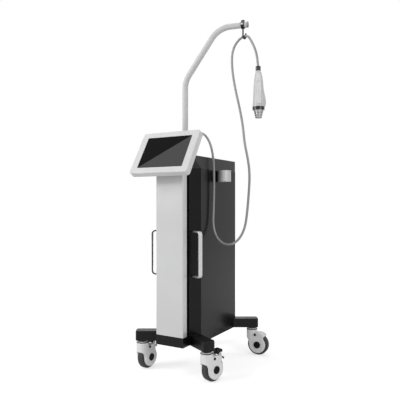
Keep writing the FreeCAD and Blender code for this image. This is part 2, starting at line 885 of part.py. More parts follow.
def cable_hook():
    top, low = hook_shank()
    trough = low + hook_way * hook_bend
    far = trough + hook_way * hook_bend
    wire = Part.Wire([
        Part.LineSegment(top, low).toShape(),
        Part.Arc(low, trough - ez * hook_bend, far).toShape(),
        Part.LineSegment(far, far + ez * hook_tip).toShape(),
    ])
    return pipe(wire, hook_wire, top, ez)


# Cable

route = [V(*point) for point in cable_points]


def cable_radii():
    radii = []
    for i in range(1, len(route) - 1):
        back_way = route[i - 1] - route[i]
        on_way = route[i + 1] - route[i]
        half = back_way.getAngle(on_way) / 2
        radii.append(share_of_run * min(back_way.Length, on_way.Length) * math.tan(half))
    return radii


def handpiece_cable():
    radii = cable_radii()
    path = bent_path(route, radii)
    tube = pipe(path, cable_dia, route[0], route[1] - route[0])
    section = math.pi * (cable_dia / 2) ** 2
    print("cable length", round(path.Length), "least radius", round(min(radii), 1))
    print("cable radii", [round(radius) for radius in radii])
    print("cable volume over section times length", round(tube.Volume / (section * path.Length), 4))
    return tube


plug_foot = V(route[0].x, route[0].y, lid_top_z)
socket_top = plug_foot + ez * cable_socket_height
grip_top = socket_top + ez * plug_grip


def cable_socket():
    return rod(cable_socket_dia, plug_foot, socket_top).cut(rod(plug_nose_dia, plug_foot, socket_top))


def cable_plug():
    # The relief ends square to the first run of the cable
    relief = Part.makeLoft([
        Part.Wire(Part.makeCircle(plug_dia / 2, grip_top, ez)),
        Part.Wire(Part.makeCircle(cable_dia / 2 + plug_lip, route[0], route[1] - route[0])),
    ], True, True)
    pieces = [rod(plug_nose_dia, plug_foot, socket_top), rod(plug_dia, socket_top, grip_top), relief]
    pitch = plug_grip / plug_rib_count
    for i in range(plug_rib_count):
        low = socket_top + ez * (pitch * i)
        pieces.append(rod(plug_dia + 2 * plug_rib, low, low + ez * (pitch / 2)))
    return joined(pieces)


# Handpiece, laid out from the end of the cable: x along its flare, -y its front, z up

hand_origin = route[-1]
collar_low = hand_mouth_depth - collar_height
body_low = collar_low - hand_length
ring_low = body_low - ring_height
body_shares = (0, hand_neck_share, hand_mid_share, hand_grip_share, hand_flare_share, 1)
body_dias = (collar_dia, hand_neck_dia, hand_mid_dia, hand_grip_dia, hand_flare_dia, hand_low_dia)
body_outs = (0, hand_neck_out, hand_mid_out, hand_grip_out, hand_flare_out, hand_low_out)


def set_hand(shape):
    return put(shape, hand_origin, ez, hand_turn)


def hand_height(share):
    return collar_low - share * hand_length


def hand_form(grow):
    rings = []
    for share, dia, out in zip(body_shares, body_dias, body_outs):
        rings.append(Part.Wire(Part.makeCircle(dia / 2 + grow, V(out, 0, hand_height(share)), ez)))
    return Part.makeLoft(rings, True, False)


def hand_half(side):
    low, high = sorted((0, side * reach))
    return block(-reach, reach, low, high, -reach, reach)


def button_front():
    # Distance of the body's front from its axis at the button
    step = (button_share - hand_neck_share) / (hand_mid_share - hand_neck_share)
    return (hand_neck_dia + step * (hand_mid_dia - hand_neck_dia)) / 2


def button_rod(dia, start, end):
    z = hand_height(button_share)
    return rod(dia, V(0, -start, z), V(0, -end, z))


def button_hole():
    return button_rod(button_dia + 2 * move_clear, button_front() + button_height, 0)


def handpiece_collar():
    well_dia = cable_dia + 2 * hand_end_clear
    sleeve = rod(collar_dia, V(0, 0, collar_low), V(0, 0, hand_mouth_depth))
    sleeve = round_rim(sleeve, collar_round, ez, (hand_mouth_depth,))
    mouth = cone(well_dia, hand_mouth_dia, V(0, 0, 0), V(0, 0, hand_mouth_depth))
    well = rod(well_dia, V(0, 0, -hand_end_room), V(0, 0, 0))
    return without(sleeve, [mouth, well])


def handpiece_shell(side):
    shell = hand_form(0).cut(hand_form(-hand_wall)).common(hand_half(side))
    return shell.cut(button_hole()) if side < 0 else shell


def handpiece_panel():
    strip = block(-panel_width / 2, panel_width / 2, -reach, 0, hand_height(panel_bottom_share),
                  hand_height(panel_top_share))
    return without(hand_form(panel_thick).common(strip), [hand_form(panel_clear), button_hole()])


def handpiece_button():
    face = button_front() + panel_thick + button_proud
    cap = button_rod(button_dia, face, face - button_height)
    return round_rim(cap, button_proud / 2, ey, (-face,))


def handpiece_board():
    top = hand_height(hand_board_top_share)
    strip = block(-hand_board_width / 2, hand_board_width / 2, -board_thick / 2, board_thick / 2,
                  top - hand_board_length, top)
    rails = block(-reach, reach, -board_thick / 2, board_thick / 2, top - hand_board_rail, top)
    inner = hand_form(-hand_wall - glass_clear).common(rails)
    switch_top = button_front() + panel_thick + button_proud - button_height - button_travel - move_clear
    switch = button_rod(button_dia / 2, switch_top, 0)
    return joined([strip, inner, switch])


def tip_ring():
    ring = rod(ring_dia, V(hand_low_out, 0, ring_low), V(hand_low_out, 0, body_low))
    bore_top = ring_low + tip_spigot + move_clear
    return ring.cut(rod(ring_dia - 2 * ring_wall, V(hand_low_out, 0, ring_low - cut_over),
                        V(hand_low_out, 0, bore_top)))


def tip_cartridge():
    top = ring_low - move_clear
    spigot_dia = ring_dia - 2 * ring_wall - 2 * move_clear
    pieces = [rod(spigot_dia, V(hand_low_out, 0, top), V(hand_low_out, 0, ring_low + tip_spigot))]
    step = tip_length / tip_steps
    fall = (tip_top_dia - tip_end_dia) / tip_steps
    for i in range(tip_steps):
        start = V(hand_low_out, 0, top - i * step)
        wide = tip_top_dia - i * fall
        ledge = start - ez * (tip_groove_share * step)
        pieces.append(rod(wide - 2 * tip_groove, start, ledge))
        pieces.append(cone(wide, wide - fall, ledge, start - ez * step))
    return joined(pieces)


# Inside the cabinet

def chassis_floor():
    pieces = [block(-inner_half, inner_half, side_front_y, flange_front_y, base_top_z, deck_z)]
    post_x = control_width / 2 - standoff_inset
    post_y = control_depth / 2 - standoff_inset
    for x in (post_x, -post_x):
        for y in (control_y + post_y, control_y - post_y):
            pieces.append(rod(standoff_dia, V(x, y, deck_z), V(x, y, deck_z + standoff_height)))
    return joined(pieces)


def control_board():
    board = circuit_board(control_width, control_depth, deck_z + standoff_height, control_chip_shares)
    return put(board, V(0, control_y, 0), ez, 0)


def mid_shelf():
    return block(-inner_half, inner_half, side_front_y, flange_front_y, shelf_z, shelf_z + shelf_thick)


def power_supply():
    top = deck_z + supply_height
    y0 = supply_y - supply_depth / 2
    y1 = supply_y + supply_depth / 2
    case = block(-supply_width / 2, supply_width / 2, y0, y1, deck_z, top)
    case = case.makeFillet(supply_round, lying_at(case, ez, top))
    half = supply_width / 2 - case_wall
    return case.cut(block(-half, half, y0 + case_wall, y1 - case_wall, deck_z, top - case_wall))


def rf_generator():
    low = shelf_z + shelf_thick
    top = low + generator_height
    y0 = generator_y - generator_depth / 2
    y1 = generator_y + generator_depth / 2
    pieces = [block(-generator_width / 2, generator_width / 2, y0, y1, low, top)]
    pitch = (generator_width - fin_thick) / (fin_count - 1)
    for i in range(fin_count):
        x = i * pitch - generator_width / 2
        pieces.append(block(x, x + fin_thick, y0, y1, top, top + fin_height))
    half = generator_width / 2 - case_wall
    return joined(pieces).cut(block(-half, half, y0 + case_wall, y1 - case_wall, low, top - case_wall))


# Fan and mains inlet on the rear

fan_front_y = inner_rear_y - fan_depth
shaft_end_y = inner_rear_y - fan_plate


def fan_axis(y):
    return V(0, y, fan_z)


def fan_frame():
    frame = block(-fan_size / 2, fan_size / 2, fan_front_y, inner_rear_y,
                  fan_z - fan_size / 2, fan_z + fan_size / 2)
    frame = frame.cut(rod(fan_bore, fan_axis(fan_front_y), fan_axis(inner_rear_y)))
    plate_y = fan_front_y + fan_plate
    spider = [frame, rod(fan_hub_dia, fan_axis(fan_front_y), fan_axis(plate_y)),
              rod(fan_shaft_dia, fan_axis(plate_y), fan_axis(shaft_end_y))]
    strut_end = (fan_bore + fan_size) / 4
    for i in range(4):
        strut = block(0, strut_end, 0, fan_plate, -fan_strut / 2, fan_strut / 2)
        spider.append(put(strut, fan_axis(fan_front_y), ey, 90 * i))
    return joined(spider)


def fan_rotor():
    low = fan_front_y + fan_plate + move_clear
    hub = rod(fan_hub_dia, fan_axis(low), fan_axis(shaft_end_y))
    pieces = [hub]
    tip = fan_bore / 2 - fan_tip_clear
    chord = fan_depth - 2 * fan_plate - 2 * fan_tip_clear
    for i in range(fan_blades):
        blade = block(fan_hub_dia / 4, tip, -chord / 2, chord / 2, -fan_blade_thick / 2, fan_blade_thick / 2)
        blade = put(blade, V(0, 0, 0), ex, fan_blade_pitch)
        pieces.append(put(blade, fan_axis((low + shaft_end_y) / 2), ey, 360 * i / fan_blades))
    bore = rod(fan_shaft_dia + 2 * run_clear, fan_axis(fan_front_y), fan_axis(cabinet_rear_y))
    sweep = rod(2 * tip, fan_axis(low), fan_axis(shaft_end_y))
    return joined(pieces).common(sweep).cut(bore)


inlet_face_y = cabinet_rear_y + inlet_flange
rocker_z = inlet_z + inlet_body_height / 4
socket_z = inlet_z - inlet_body_height / 4
rocker_axis_y = inlet_face_y - rocker_depth / 2


def inlet_module():
    flange = block(-inlet_width / 2, inlet_width / 2, cabinet_rear_y, inlet_face_y,
                   inlet_z - inlet_height / 2, inlet_z + inlet_height / 2)
    body = block(-inlet_body_width / 2, inlet_body_width / 2, inlet_face_y - inlet_body_depth, cabinet_rear_y,
                 inlet_z - inlet_body_height / 2, inlet_z + inlet_body_height / 2)
    recess_y = inlet_face_y - socket_depth
    recess = block(-socket_width / 2, socket_width / 2, recess_y, inlet_face_y + cut_over,
                   socket_z - socket_height / 2, socket_z + socket_height / 2)
    pocket_x = rocker_width / 2 + move_clear
    pocket_z = rocker_height / 2 + rocker_room
    pocket = block(-pocket_x, pocket_x, inlet_face_y - rocker_depth - rocker_room, inlet_face_y + cut_over,
                   rocker_z - pocket_z, rocker_z + pocket_z)
    pin_hole = rod(rocker_pin_dia + 2 * run_clear, V(-pocket_x - rocker_pin_length, rocker_axis_y, rocker_z),
                   V(pocket_x + rocker_pin_length, rocker_axis_y, rocker_z))
    return without(joined([flange, body]), [recess, pocket, pin_hole])


def power_rocker():
    # Its upper half stands proud at rest, its lower half lies flush
    half = rocker_height / 2
    back = inlet_face_y - rocker_depth
    outline = [(back, -half), (inlet_face_y, -half), (inlet_face_y, 0), (inlet_face_y + rocker_proud, half),
               (back, half)]
    cap = prism([V(-rocker_width / 2, y, rocker_z + z) for y, z in outline], ex * rocker_width)
    reach_x = rocker_width / 2 + move_clear + rocker_pin_length - run_clear
    return joined([cap, rod(rocker_pin_dia, V(-reach_x, rocker_axis_y, rocker_z),
                            V(reach_x, rocker_axis_y, rocker_z))])


# Assembly

cord_nodes = ("handpiece_cable", "cable_plug")
nodes = {
    "base_cover": base_cover(),
    "base_plate": base_plate(),
    "caster_stems": group([put(caster_stem(), caster_base(key), ez, 0) for key in trail_angles]),
    "chassis_floor": chassis_floor(),
    "side_panel_left": side_panel(-1),
    "side_panel_right": side_panel(1),
    "rear_panel": rear_panel(),
    "cabinet_front": cabinet_front(),
    "lid": lid(),
    "column_panel": column_panel(),
    "handle_left": handle(-1),
    "handle_right": handle(1),
    "handle_screws": group(handle_screw_set()),
    "cover_screws": group(panel_screw_set() + [set_head(screw) for screw in head_screw_set()]),
    "holder_bracket": holder_bracket(),
    "holder_cup": holder_cup(),
    "head_bezel": set_head(head_bezel()),
    "head_rear_cover": set_head(head_rear_cover()),
    "touch_glass": set_head(touch_glass()),
    "lcd_panel": set_head(lcd_panel()),
    "display_board": set_head(circuit_board(board_width, board_height, board_low, display_chip_shares)),
    "head_bracket": head_bracket(),
    "arm_tube": arm_tube(),
    "arm_socket": arm_socket(),
    "arm_end_cap": arm_end_cap(),
    "hook_clamp": hook_clamp(),
    "cable_hook": cable_hook(),
    "cable_socket": cable_socket(),
    "cable_plug": cable_plug(),
    "handpiece_cable": handpiece_cable(),
    "handpiece_collar": set_hand(handpiece_collar()),
    "handpiece_shell_front": set_hand(handpiece_shell(-1)),
    "handpiece_shell_rear": set_hand(handpiece_shell(1)),
    "handpiece_panel": set_hand(handpiece_panel()),
    "handpiece_button": set_hand(handpiece_button()),
    "handpiece_board": set_hand(handpiece_board()),
    "tip_ring": set_hand(tip_ring()),
    "tip_cartridge": set_hand(tip_cartridge()),
    "mid_shelf": mid_shelf(),
    "rf_generator": rf_generator(),
    "power_supply": power_supply(),
    "control_board": control_board(),
    "fan_frame": fan_frame(),
    "fan_rotor": fan_rotor(),
    "inlet_module": inlet_module(),
    "power_rocker": power_rocker(),
}
for key in trail_angles:
    nodes["caster_housing_" + key] = set_caster(caster_housing(key in braked), key)
    nodes["caster_wheel_" + key] = set_caster(caster_wheel(), key)
    nodes["caster_axle_" + key] = set_caster(caster_axle(), key)
for key in braked:
    nodes["brake_pedal_" + key] = set_caster(brake_pedal(), key)

extent = FreeCAD.BoundBox()
for name, shape in nodes.items():
    if name not in cord_nodes:
        extent.add(shape.optimalBoundingBox(False, False))
origin_shift = V(-extent.Center.x, -extent.Center.y, -extent.ZMin)
os.makedirs("parts", exist_ok=True)
for name, shape in nodes.items():
    shape.translate(origin_shift)
    shape.exportStep("parts/" + name + ".step")
print("nodes", len(nodes), "origin moved by", origin_shift)
print("object box", extent)
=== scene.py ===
import bpy
import bmesh
import json
import math
from mathutils import Matrix, Vector


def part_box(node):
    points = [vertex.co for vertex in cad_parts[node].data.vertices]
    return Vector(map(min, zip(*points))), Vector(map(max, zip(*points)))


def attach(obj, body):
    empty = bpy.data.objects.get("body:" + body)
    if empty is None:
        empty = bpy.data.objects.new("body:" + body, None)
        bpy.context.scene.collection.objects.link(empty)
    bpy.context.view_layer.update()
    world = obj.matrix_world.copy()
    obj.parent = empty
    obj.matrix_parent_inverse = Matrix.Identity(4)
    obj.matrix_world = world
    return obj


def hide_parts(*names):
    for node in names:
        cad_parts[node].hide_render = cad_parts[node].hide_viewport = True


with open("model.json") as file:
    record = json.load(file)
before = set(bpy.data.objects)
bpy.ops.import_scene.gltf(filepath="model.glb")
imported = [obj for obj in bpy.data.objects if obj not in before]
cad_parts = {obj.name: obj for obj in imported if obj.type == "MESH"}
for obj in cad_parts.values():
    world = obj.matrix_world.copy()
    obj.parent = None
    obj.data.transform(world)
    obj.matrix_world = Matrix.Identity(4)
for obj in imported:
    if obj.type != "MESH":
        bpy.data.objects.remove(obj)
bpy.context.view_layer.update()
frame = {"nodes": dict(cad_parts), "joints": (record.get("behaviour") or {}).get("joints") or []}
cadNodes = frame["nodes"]
joints = {joint["name"]: joint for joint in frame["joints"]}
scene = bpy.context.scene
scene.view_settings.view_transform = "Standard"

upward = Vector((0.0, 0.0, 1.0))
quarterTurn = math.radians(90.0)

# middle of the four casters, on the floor: the camera, the cable, the painted reflection on the screen,
# the mains pins and the floor's brightness are laid out from it
corners = ("fl", "fr", "rl", "rr")
swivels = [Vector(joints["swivel_" + corner]["pos_m"]) for corner in corners]
baseMiddle = sum(swivels, Vector()) / len(swivels)
baseMiddle.z = 0.0

# camera: level, to the right of the front
viewCamera = {"away": 2.263, "height": 0.727, "turn": 30.0, "sensor": 36.0, "lens": 44.19,
              "shiftUp": 0.0075}
cameraData = bpy.data.cameras.new("viewCamera")
cameraData.sensor_width = viewCamera["sensor"]
cameraData.lens = viewCamera["lens"]
cameraData.shift_y = viewCamera["shiftUp"]
camera = bpy.data.objects.new("viewCamera", cameraData)
camera.rotation_euler = (quarterTurn, 0.0, math.radians(viewCamera["turn"]))
camera.location = baseMiddle + camera.rotation_euler.to_matrix() @ Vector((0.0, 0.0, viewCamera["away"]))
camera.location.z = viewCamera["height"]
scene.collection.objects.link(camera)
scene.camera = camera
print("camera placed")

# handpiece cable: up out of the plug, down past the right side, round and up over the hook
handCable = {
    "diameter": 0.010,
    "length": 1.793,
    "bevelResolution": 8,
    "lineResolution": 10,
    "lineOrder": 3,
    "route": [
        (-0.0050, -0.0800, 0.9670), (-0.0020, -0.0810, 1.0000), (0.0169, -0.0831, 1.0283),
        (0.0457, -0.0835, 1.0392), (0.0757, -0.0848, 1.0258), (0.0968, -0.0823, 0.9924),
        (0.1074, -0.0786, 0.9526), (0.1109, -0.0721, 0.9026), (0.1095, -0.0667, 0.8278),
        (0.1090, -0.0676, 0.7453), (0.1090, -0.0714, 0.6894), (0.1090, -0.0760, 0.6389),
        (0.1190, -0.0795, 0.5986), (0.1421, -0.0851, 0.5647), (0.1793, -0.0907, 0.5481),
        (0.2202, -0.0963, 0.5547), (0.2525, -0.0985, 0.5830), (0.2735, -0.0970, 0.6280),
        (0.2827, -0.0960, 0.6950), (0.2898, -0.0950, 0.7800), (0.2924, -0.0940, 0.8500),
        (0.2837, -0.0925, 0.9100), (0.2676, -0.0910, 0.9750), (0.2585, -0.0880, 1.0500),
        (0.2430, -0.0840, 1.1200), (0.2210, -0.0790, 1.2000), (0.2050, -0.0740, 1.2700),
        (0.1975, -0.0700, 1.3300), (0.1990, -0.0675, 1.3720), (0.2120, -0.0660, 1.4050),
        (0.2397, -0.0659, 1.4306), (0.2746, -0.0753, 1.4306), (0.2941, -0.0805, 1.4020),
        (0.3120, -0.0835, 1.3660), (0.3230, -0.0852, 1.3260), (0.3268, -0.0864, 1.2860),
    ],
}
cableCurve = bpy.data.curves.new("cable", "CURVE")
cableCurve.dimensions = "3D"
cableCurve.bevel_depth = 1.0        # times each point's radius
cableCurve.bevel_resolution = handCable["bevelResolution"]
cableCurve.resolution_u = handCable["lineResolution"]
cableCurve.use_fill_caps = True
cableLine = cableCurve.splines.new("NURBS")
cableLine.points.add(len(handCable["route"]) - 1)
for point, place in zip(cableLine.points, handCable["route"]):
    point.co = (*(baseMiddle + Vector(place)), 1.0)
    point.radius = handCable["diameter"] / 2
cableLine.order_u = handCable["lineOrder"]
cableLine.use_endpoint_u = True
cable = bpy.data.objects.new("cable", cableCurve)
scene.collection.objects.link(cable)
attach(cable, "trolley")
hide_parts("handpiece_cable")
print("cable laid")


# shader helpers
def addNode(tree, kind, **settings):
    node = tree.nodes.new(kind)
    for name, value in settings.items():
        setattr(node, name, value)
    return node


def newGroup(name, inputs, outputs):
    group = bpy.data.node_groups.new(name, "ShaderNodeTree")
    for socketName, kind in inputs.items():
        group.interface.new_socket(socketName, in_out="INPUT", socket_type="NodeSocket" + kind)
    for socketName in outputs:
        group.interface.new_socket(socketName, in_out="OUTPUT", socket_type="NodeSocketFloat")
    return group, addNode(group, "NodeGroupInput"), addNode(group, "NodeGroupOutput")


def placeGroup(tree, group, **values):
    node = addNode(tree, "ShaderNodeGroup", node_tree=group)
    for name, value in values.items():
        node.inputs[name].default_value = value
    return node


# a Math or VectorMath node whose terms are sockets or plain values
def reckon(tree, kind, operation, *terms, **settings):
    node = addNode(tree, "ShaderNode" + kind, operation=operation, **settings)
    for socket, term in zip(node.inputs, terms):
        if isinstance(term, bpy.types.NodeSocket):
            tree.links.new(term, socket)
        else:
            socket.default_value = term
    return node


# goes from one end value at the start to the other at the stop
def ramp(tree, value, start, stop, blend="SMOOTHSTEP", ends=(0.0, 1.0)):
    node = addNode(tree, "ShaderNodeMapRange", interpolation_type=blend)
    node.inputs["From Min"].default_value = start
    node.inputs["From Max"].default_value = stop
    node.inputs["To Min"].default_value = ends[0]
    node.inputs["To Max"].default_value = ends[1]
    tree.links.new(value, node.inputs["Value"])
    return node.outputs["Result"]


# noise laid out in the piece's own coordinates
def objectNoise(tree, detail):
    place = addNode(tree, "ShaderNodeTexCoord")
    noise = addNode(tree, "ShaderNodeTexNoise")
    noise.inputs["Detail"].default_value = detail
    tree.links.new(place.outputs["Object"], noise.inputs["Vector"])
    return noise


# the mix node has sockets for several kinds of value: these carry colours
mixSockets = {"first": 6, "second": 7, "result": 2}


def mixColours(tree, factor, first, second):
    mix = addNode(tree, "ShaderNodeMix", data_type="RGBA")
    tree.links.new(factor, mix.inputs["Factor"])
    for name, colour in (("first", first), ("second", second)):
        socket = mix.inputs[mixSockets[name]]
        if isinstance(colour, bpy.types.NodeSocket):
            tree.links.new(colour, socket)
        else:
            socket.default_value = (*colour, 1.0)
    return mix.outputs[mixSockets["result"]]


def mixShaders(tree, factor, first, second):
    mix = addNode(tree, "ShaderNodeMixShader")
    for socket, source in zip(mix.inputs, (factor, first, second)):
        tree.links.new(source, socket)
    return mix.outputs["Shader"]


# 1 for what the camera sees straight, mirrored or through something clear, 0 for light on its way round
def seenRays(tree):
    light = addNode(tree, "ShaderNodeLightPath")
    plain = reckon(tree, "Math", "MAXIMUM", light.outputs["Is Camera Ray"], light.outputs["Is Glossy Ray"])
    seen = reckon(tree, "Math", "MAXIMUM", plain.outputs["Value"], light.outputs["Is Transmission Ray"])
    return seen.outputs["Value"]


# moulded grain: fine pits all over a plastic or coated skin
mouldedGrain = {"detail": 2.0}
grainGroup, grainIn, grainOut = newGroup("mouldedGrain", {"Scale": "Float"}, ["Height"])
grainNoise = objectNoise(grainGroup, mouldedGrain["detail"])
grainGroup.links.new(grainIn.outputs["Scale"], grainNoise.inputs["Scale"])
grainGroup.links.new(grainNoise.outputs["Fac"], grainOut.inputs["Height"])

# handling haze: broad cloudy patches where a surface has been wiped or touched
handlingHaze = {"detail": 5.0, "distortion": 0.7, "clear": 0.35, "cloudy": 0.68}
hazeGroup, hazeIn, hazeOut = newGroup(
    "handlingHaze", {"Scale": "Float", "Low": "Float", "High": "Float"}, ["Roughness", "Mask"])
hazeNoise = objectNoise(hazeGroup, handlingHaze["detail"])
hazeNoise.inputs["Distortion"].default_value = handlingHaze["distortion"]
hazeMask = ramp(hazeGroup, hazeNoise.outputs["Fac"], handlingHaze["clear"], handlingHaze["cloudy"])
hazeRough = addNode(hazeGroup, "ShaderNodeMapRange")
hazeGroup.links.new(hazeIn.outputs["Scale"], hazeNoise.inputs["Scale"])
hazeGroup.links.new(hazeMask, hazeRough.inputs["Value"])
hazeGroup.links.new(hazeIn.outputs["Low"], hazeRough.inputs["To Min"])
hazeGroup.links.new(hazeIn.outputs["High"], hazeRough.inputs["To Max"])
hazeGroup.links.new(hazeRough.outputs["Result"], hazeOut.inputs["Roughness"])
hazeGroup.links.new(hazeMask, hazeOut.inputs["Mask"])

# edge wear and painted edge highlight: a mask where the skin turns within the given radius, broken up by a
# patchy noise; the looks give these edges a lighter colour
edgeWearGlint = {"samples": 4, "flat": 0.995, "turned": 0.88, "patch": 60.0, "detail": 4.0}
wearGlintGroup, wearGlintIn, wearGlintOut = newGroup("edgeWearGlint", {"Radius": "Float", "Amount": "Float"}, ["Mask"])
wearGlintBevel = addNode(wearGlintGroup, "ShaderNodeBevel", samples=edgeWearGlint["samples"])
wearGlintFace = addNode(wearGlintGroup, "ShaderNodeNewGeometry")
wearGlintNoise = objectNoise(wearGlintGroup, edgeWearGlint["detail"])
wearGlintNoise.inputs["Scale"].default_value = edgeWearGlint["patch"]
wearGlintDot = reckon(
    wearGlintGroup, "VectorMath", "DOT_PRODUCT", wearGlintBevel.outputs["Normal"], wearGlintFace.outputs["Normal"])
wearGlintTurn = ramp(wearGlintGroup, wearGlintDot.outputs["Value"], edgeWearGlint["flat"], edgeWearGlint["turned"], "LINEAR")
wearGlintPatch = reckon(wearGlintGroup, "Math", "MULTIPLY", wearGlintTurn, wearGlintNoise.outputs["Fac"])
wearGlintAmount = reckon(
    wearGlintGroup, "Math", "MULTIPLY", wearGlintPatch.outputs["Value"], wearGlintIn.outputs["Amount"], use_clamp=True)
wearGlintGroup.links.new(wearGlintIn.outputs["Radius"], wearGlintBevel.inputs["Radius"])
wearGlintGroup.links.new(wearGlintAmount.outputs["Value"], wearGlintOut.inputs["Mask"])

# brushed lines: long fine streaks, stretched by a different scale on each axis
brushedLines = {"scale": 1.0, "detail": 3.0}
brushGroup, brushIn, brushOut = newGroup("brushedLines", {"Stretch": "Vector"}, ["Lines"])
brushPlace = addNode(brushGroup, "ShaderNodeTexCoord")
brushScale = reckon(
    brushGroup, "VectorMath", "MULTIPLY", brushPlace.outputs["Object"], brushIn.outputs["Stretch"])
brushNoise = addNode(brushGroup, "ShaderNodeTexNoise")
brushNoise.inputs["Scale"].default_value = brushedLines["scale"]
brushNoise.inputs["Detail"].default_value = brushedLines["detail"]
brushGroup.links.new(brushScale.outputs["Vector"], brushNoise.inputs["Vector"])
brushGroup.links.new(brushNoise.outputs["Fac"], brushOut.inputs["Lines"])

# settled dust: a thin pale film on what faces up
settledDust = {"slope": 0.6, "level": 1.0, "scale": 220.0, "detail": 4.0}
dustGroup, dustIn, dustOut = newGroup("settledDust", {"Amount": "Float"}, ["Mask"])
dustFace = addNode(dustGroup, "ShaderNodeNewGeometry")
dustUp = addNode(dustGroup, "ShaderNodeSeparateXYZ")
dustGroup.links.new(dustFace.outputs["Normal"], dustUp.inputs["Vector"])
dustNoise = objectNoise(dustGroup, settledDust["detail"])
dustNoise.inputs["Scale"].default_value = settledDust["scale"]
dustTop = ramp(dustGroup, dustUp.outputs["Z"], settledDust["slope"], settledDust["level"], "LINEAR")
dustSpread = reckon(dustGroup, "Math", "MULTIPLY", dustTop, dustNoise.outputs["Fac"])
dustAmount = reckon(
    dustGroup, "Math", "MULTIPLY", dustSpread.outputs["Value"], dustIn.outputs["Amount"], use_clamp=True)
dustGroup.links.new(dustAmount.outputs["Value"], dustOut.inputs["Mask"])
print("shared effects built")

# what a finish has where its look names nothing else
plainLook = {"specular": 0.5, "metallic": 0.0, "coat": 0.0, "coatRough": 0.1}
bumpStrength = 0.6


def newFinish(name, look):
    material = bpy.data.materials.new(name)
    material.use_nodes = True
    material.diffuse_color = (*look["colour"], 1.0)
    tree = material.node_tree
    shader = tree.nodes["Principled BSDF"]
    fullLook = {**plainLook, **look}
    shader.inputs["Specular IOR Level"].default_value = fullLook["specular"]
    shader.inputs["Metallic"].default_value = fullLook["metallic"]
    shader.inputs["Coat Weight"].default_value = fullLook["coat"]
    shader.inputs["Coat Roughness"].default_value = fullLook["coatRough"]
    return material, tree, shader


def bumpFrom(tree, shader, height, depth):
    bump = addNode(tree, "ShaderNodeBump")
    bump.inputs["Strength"].default_value = bumpStrength
    bump.inputs["Distance"].default_value = depth
    tree.links.new(height, bump.inputs["Height"])
    tree.links.new(bump.outputs["Normal"], shader.inputs["Normal"])


# haze in the gloss; its mask is for the colour
def hazeOver(tree, shader, look):
    low, high = look["gloss"]
    haze = placeGroup(tree, hazeGroup, Scale=look["haze"], Low=low, High=high)
    tree.links.new(haze.outputs["Roughness"], shader.inputs["Roughness"])
    return haze.outputs["Mask"]


def grainOver(tree, shader, look):
    grain = placeGroup(tree, grainGroup, Scale=look["grain"])
    bumpFrom(tree, shader, grain.outputs["Height"], look["grainDepth"])


# brushed lines in the relief; they are used in the colour too
def linesOver(tree, shader, look):
    lines = placeGroup(tree, brushGroup, Stretch=look["stretch"])
    bumpFrom(tree, shader, lines.outputs["Lines"], look["lineDepth"])
    return lines.outputs["Lines"]


# plastics and paints: haze and a moulded grain, with edges lightened as wear and as a painted highlight,
# and dust, where the look has them
def skinFinish(name, look):
    material, tree, shader = newFinish(name, look)
    colour = mixColours(tree, hazeOver(tree, shader, look), look["colour"], look["cloud"])
    # the lighter edge colour is partly wear and partly a painted highlight
    if "edge" in look:
        wearGlint = placeGroup(tree, wearGlintGroup, Radius=look["edgeRadius"], Amount=look["edgeAmount"])
        colour = mixColours(tree, wearGlint.outputs["Mask"], colour, look["edge"])
    if "dust" in look:
        dust = placeGroup(tree, dustGroup, Amount=look["dust"])
        colour = mixColours(tree, dust.outputs["Mask"], colour, look["dustColour"])
    tree.links.new(colour, shader.inputs["Base Color"])
    grainOver(tree, shader, look)
    return material


# metals: brushed lines and haze
def metalFinish(name, look):
    material, tree, shader = newFinish(name, {"metallic": 1.0, **look})
    colour = mixColours(tree, linesOver(tree, shader, look), look["colour"], look["line"])
    colour = mixColours(tree, hazeOver(tree, shader, look), colour, look["cloud"])
    tree.links.new(colour, shader.inputs["Base Color"])
    return material


def dress(material, *names):
    for name in names:
        slots = cadNodes[name].data.materials
        slots.clear()
        slots.append(material)


blackPlastic = {
    "colour": (0.0034, 0.0034, 0.0036), "cloud": (0.0050, 0.0050, 0.0052),
    "haze": 16.0, "gloss": (0.28, 0.36), "specular": 0.17,
    "edge": (0.035, 0.035, 0.036), "edgeRadius": 0.0016, "edgeAmount": 0.7,
    "dust": 0.04, "dustColour": (0.12, 0.12, 0.12),
    "grain": 1100.0, "grainDepth": 0.00003,
}
dress(skinFinish("blackPlastic", blackPlastic), "base_cover", "holder_bracket", "head_bracket",
      "hook_clamp", "cable_socket", "cable_plug", "fan_frame", "fan_rotor", "inlet_module",
      "power_rocker", "lcd_panel", "brake_pedal_fl", "brake_pedal_fr")

# small dull mouldings: axles, plugs, seals and bands
dullBlack = {
    "colour": (0.0036, 0.0036, 0.0038), "cloud": (0.0052, 0.0052, 0.0054),
    "haze": 40.0, "gloss": (0.42, 0.54), "specular": 0.08,
    "edge": (0.02, 0.02, 0.02), "edgeRadius": 0.0008, "edgeAmount": 0.5,
    "grain": 2400.0, "grainDepth": 0.00002,
}
dullMoulding = skinFinish("dullBlack", dullBlack)
dress(dullMoulding, *["caster_axle_" + corner for corner in corners])

# turned and polished rings at the two ends of the handpiece
glossBlack = {
    "colour": (0.010, 0.010, 0.0102), "cloud": (0.014, 0.014, 0.0142),
    "haze": 60.0, "gloss": (0.10, 0.18), "specular": 0.28, "coat": 0.05,
    "edge": (0.05, 0.05, 0.05), "edgeRadius": 0.0008, "edgeAmount": 0.5,
    "grain": 2400.0, "grainDepth": 0.000004,
}
dress(skinFinish("glossBlack", glossBlack), "handpiece_collar", "tip_ring")

# coated sheet: nearly black, its grey is the room mirrored in it
blackPanel = {
    "colour": (0.0034, 0.0034, 0.0036), "cloud": (0.0048, 0.0048, 0.0050),
    "haze": 5.0, "gloss": (0.20, 0.27), "specular": 0.14,
    "edge": (0.09, 0.09, 0.09), "edgeRadius": 0.003, "edgeAmount": 0.7,
    "grain": 1500.0, "grainDepth": 0.000008,
}
dress(skinFinish("blackPanel", blackPanel), "side_panel_left", "side_panel_right", "rear_panel",
      "cabinet_front")

